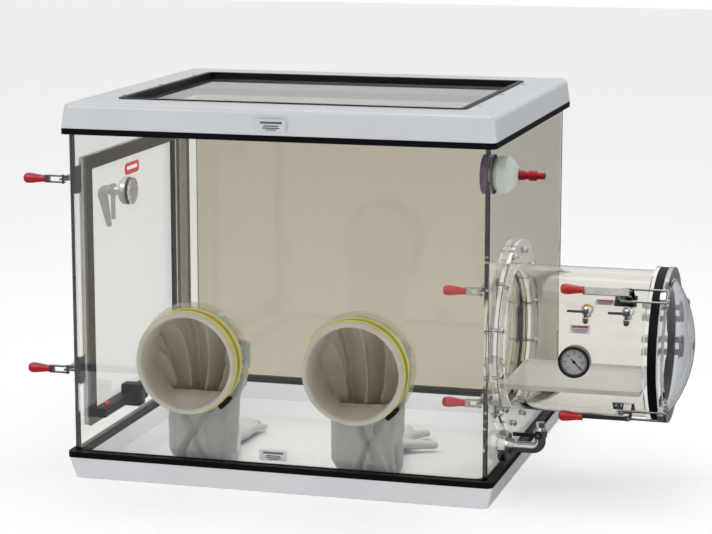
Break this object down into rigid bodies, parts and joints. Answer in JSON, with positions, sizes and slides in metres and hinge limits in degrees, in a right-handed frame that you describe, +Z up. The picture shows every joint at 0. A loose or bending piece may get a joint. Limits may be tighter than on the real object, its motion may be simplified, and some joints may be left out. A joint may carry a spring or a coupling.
{
  "type": "laboratory glove box",
  "caption": "Clear acrylic glove box with white base and roof, gloved front ports, a side door and a round transfer chamber with a domed door.",
  "frame": {"origin": "centre of the footprint of the clear walls, on the underside of the base pan", "axes": "+X to the right toward the transfer chamber, +Y to the back, +Z up"},
  "size_m": [1.3793, 0.8375, 0.8],
  "materials": {
    "acrylic": "clear polished",
    "white_shell": "gloss",
    "seal_rubber": "matt",
    "door_seal": "matt",
    "black_frame": "satin",
    "steel": "satin",
    "chrome": "polished",
    "latex": "matt",
    "cuff_band": "gloss",
    "hinge_metal": "satin",
    "gas_body": "translucent",
    "gas_red": "anodised",
    "gauge_black": "gloss",
    "needle_black": "matt",
    "tray_white": "gloss",
    "outlet_black": "matt",
    "switch_red": "gloss"
  },
  "bodies": {
    "housing": {"base_pan": "white_shell", "roof_cap": "white_shell", "base_seal": "seal_rubber", "roof_seal": "seal_rubber", "chamber_seals": "seal_rubber", "window_frame": "black_frame", "window_pane": "acrylic", "front_wall": "acrylic", "back_wall": "acrylic", "left_wall": "acrylic", "right_wall": "acrylic", "port_collars": "acrylic", "transfer_tube": "acrylic", "wall_ring": "acrylic", "tube_flange": "acrylic", "window_screws": "steel", "side_clamp_bases": "steel", "inner_clamp_bases": "steel", "latch_brackets": "steel", "ring_bolts": "steel", "outer_hinge_fixed": "steel", "glove_cuffs": "latex", "glove_left": "latex", "glove_right": "latex", "cuff_clamps": "cuff_band", "side_door_seal": "door_seal", "side_hinge_fixed": "hinge_metal", "inner_hinge_fixed": "hinge_metal", "tube_valves": "chrome", "drain_valve": "chrome", "gauge_case": "gauge_black", "gas_port": "gas_body", "gas_coupling": "gas_red", "outlet_strip": "outlet_black"},
    "side_door": {"side_door": "acrylic", "side_hinge_leaf": "hinge_metal", "purge_valve": "chrome"},
    "purge_lever": {"purge_lever": "chrome"},
    "inner_door": {"inner_door": "acrylic", "inner_hinge_leaf": "hinge_metal"},
    "outer_door": {"outer_door": "acrylic", "door_fittings": "steel"},
    "gauge_needle": {"gauge_needle": "needle_black"},
    "tube_valve_lever_a": {"tube_valve_lever_a": "chrome"},
    "tube_valve_lever_b": {"tube_valve_lever_b": "chrome"},
    "drain_lever": {"drain_lever": "chrome"},
    "loading_tray": {"loading_tray": "tray_white"},
    "rocker_switch": {"rocker_switch": "switch_red"},
    "side_clamp_arm_low": {"side_clamp_arm_low": "steel"},
    "side_clamp_handle_low": {"side_clamp_handle_low": "steel"},
    "side_clamp_arm_high": {"side_clamp_arm_high": "steel"},
    "side_clamp_handle_high": {"side_clamp_handle_high": "steel"},
    "inner_clamp_arm_low": {"inner_clamp_arm_low": "steel"},
    "inner_clamp_handle_low": {"inner_clamp_handle_low": "steel"},
    "inner_clamp_arm_high": {"inner_clamp_arm_high": "steel"},
    "inner_clamp_handle_high": {"inner_clamp_handle_high": "steel"},
    "latch_lever_low": {"latch_lever_low": "steel"},
    "latch_hook_low": {"latch_hook_low": "steel"},
    "latch_lever_high": {"latch_lever_high": "steel"},
    "latch_hook_high": {"latch_hook_high": "steel"}
  },
  "joints": [
    {"name": "side_door_hinge", "type": "hinge", "parent": "housing", "child": "side_door", "pos_m": [-0.4648, 0.3, 0.385], "axis": [0, 0, -1], "range_deg": [0, 110]},
    {"name": "purge_lever_turn", "type": "hinge", "parent": "side_door", "child": "purge_lever", "pos_m": [-0.498, -0.025, 0.563], "axis": [-1, 0, 0], "range_deg": [0, 90]},
    {"name": "side_clamp_handle_low_pivot", "type": "hinge", "parent": "housing", "child": "side_clamp_handle_low", "pos_m": [-0.4705, -0.359, 0.227], "axis": [0, 0, 1], "range_deg": [0, 60]},
    {"name": "side_clamp_arm_low_pivot", "type": "hinge", "parent": "housing", "child": "side_clamp_arm_low", "pos_m": [-0.4705, -0.343, 0.227], "axis": [0, 0, 1], "range_deg": [0, 96]},
    {"name": "side_clamp_handle_high_pivot", "type": "hinge", "parent": "housing", "child": "side_clamp_handle_high", "pos_m": [-0.4705, -0.359, 0.634], "axis": [0, 0, 1], "range_deg": [0, 60]},
    {"name": "side_clamp_arm_high_pivot", "type": "hinge", "parent": "housing", "child": "side_clamp_arm_high", "pos_m": [-0.4705, -0.343, 0.634], "axis": [0, 0, 1], "range_deg": [0, 96]},
    {"name": "inner_clamp_handle_low_pivot", "type": "hinge", "parent": "housing", "child": "inner_clamp_handle_low", "pos_m": [0.409, -0.293, 0.196], "axis": [0, 0, 1], "range_deg": [0, 45]},
    {"name": "inner_clamp_arm_low_pivot", "type": "hinge", "parent": "housing", "child": "inner_clamp_arm_low", "pos_m": [0.409, -0.277, 0.196], "axis": [0, 0, 1], "range_deg": [0, 72]},
    {"name": "inner_clamp_handle_high_pivot", "type": "hinge", "parent": "housing", "child": "inner_clamp_handle_high", "pos_m": [0.409, -0.293, 0.429], "axis": [0, 0, 1], "range_deg": [0, 45]},
    {"name": "inner_clamp_arm_high_pivot", "type": "hinge", "parent": "housing", "child": "inner_clamp_arm_high", "pos_m": [0.409, -0.277, 0.429], "axis": [0, 0, 1], "range_deg": [0, 72]},
    {"name": "inner_door_hinge", "type": "hinge", "parent": "housing", "child": "inner_door", "pos_m": [0.4157, 0.046, 0.306], "axis": [0, 0, -1], "range_deg": [0, 100]},
    {"name": "outer_door_hinge", "type": "hinge", "parent": "housing", "child": "outer_door", "pos_m": [0.7828, 0.047, 0.306], "axis": [0, 0, 1], "range_deg": [0, 110]},
    {"name": "latch_lever_high_pivot", "type": "hinge", "parent": "housing", "child": "latch_lever_high", "pos_m": [0.7065, -0.25445, 0.43045], "axis": [0, 0.7071, 0.7071], "range_deg": [0, 110]},
    {"name": "latch_hook_high_pivot", "type": "hinge", "parent": "latch_lever_high", "child": "latch_hook_high", "pos_m": [0.6905, -0.25374, 0.42974], "axis": [0, 0.7071, 0.7071], "range_deg": [-110, 0]},
    {"name": "latch_lever_low_pivot", "type": "hinge", "parent": "housing", "child": "latch_lever_low", "pos_m": [0.7065, -0.25445, 0.18155], "axis": [0, -0.7071, 0.7071], "range_deg": [0, 110]},
    {"name": "latch_hook_low_pivot", "type": "hinge", "parent": "latch_lever_low", "child": "latch_hook_low", "pos_m": [0.6905, -0.25374, 0.18226], "axis": [0, -0.7071, 0.7071], "range_deg": [-110, 0]},
    {"name": "gauge_needle_turn", "type": "hinge", "parent": "housing", "child": "gauge_needle", "pos_m": [0.6055, -0.31, 0.298], "axis": [0, -1, 0], "range_deg": [0, 270]},
    {"name": "tube_valve_a_turn", "type": "hinge", "parent": "housing", "child": "tube_valve_lever_a", "pos_m": [0.6215, -0.28714, 0.39794], "axis": [0, -1, 0], "range_deg": [0, 90]},
    {"name": "tube_valve_b_turn", "type": "hinge", "parent": "housing", "child": "tube_valve_lever_b", "pos_m": [0.7045, -0.28714, 0.39794], "axis": [0, -1, 0], "range_deg": [0, 90]},
    {"name": "drain_lever_turn", "type": "hinge", "parent": "housing", "child": "drain_lever", "pos_m": [0.5275, -0.27, 0.131], "axis": [0, -1, 0], "range_deg": [0, 90]},
    {"name": "loading_tray_slide", "type": "slide", "parent": "housing", "child": "loading_tray", "axis": [1, 0, 0], "range_m": [-0.016, 0.024]},
    {"name": "rocker_switch_tilt", "type": "hinge", "parent": "housing", "child": "rocker_switch", "pos_m": [-0.4248, -0.252, 0.126], "axis": [1, 0, 0], "range_deg": [-8, 8]}
  ],
  "couplings": [
    {"joint": "side_clamp_arm_low_pivot", "follows": "side_clamp_handle_low_pivot", "ratio": 1.6},
    {"joint": "side_clamp_arm_high_pivot", "follows": "side_clamp_handle_high_pivot", "ratio": 1.6},
    {"joint": "inner_clamp_arm_low_pivot", "follows": "inner_clamp_handle_low_pivot", "ratio": 1.6},
    {"joint": "inner_clamp_arm_high_pivot", "follows": "inner_clamp_handle_high_pivot", "ratio": 1.6},
    {"joint": "latch_hook_high_pivot", "follows": "latch_lever_high_pivot", "ratio": -1},
    {"joint": "latch_hook_low_pivot", "follows": "latch_lever_low_pivot", "ratio": -1}
  ]
}
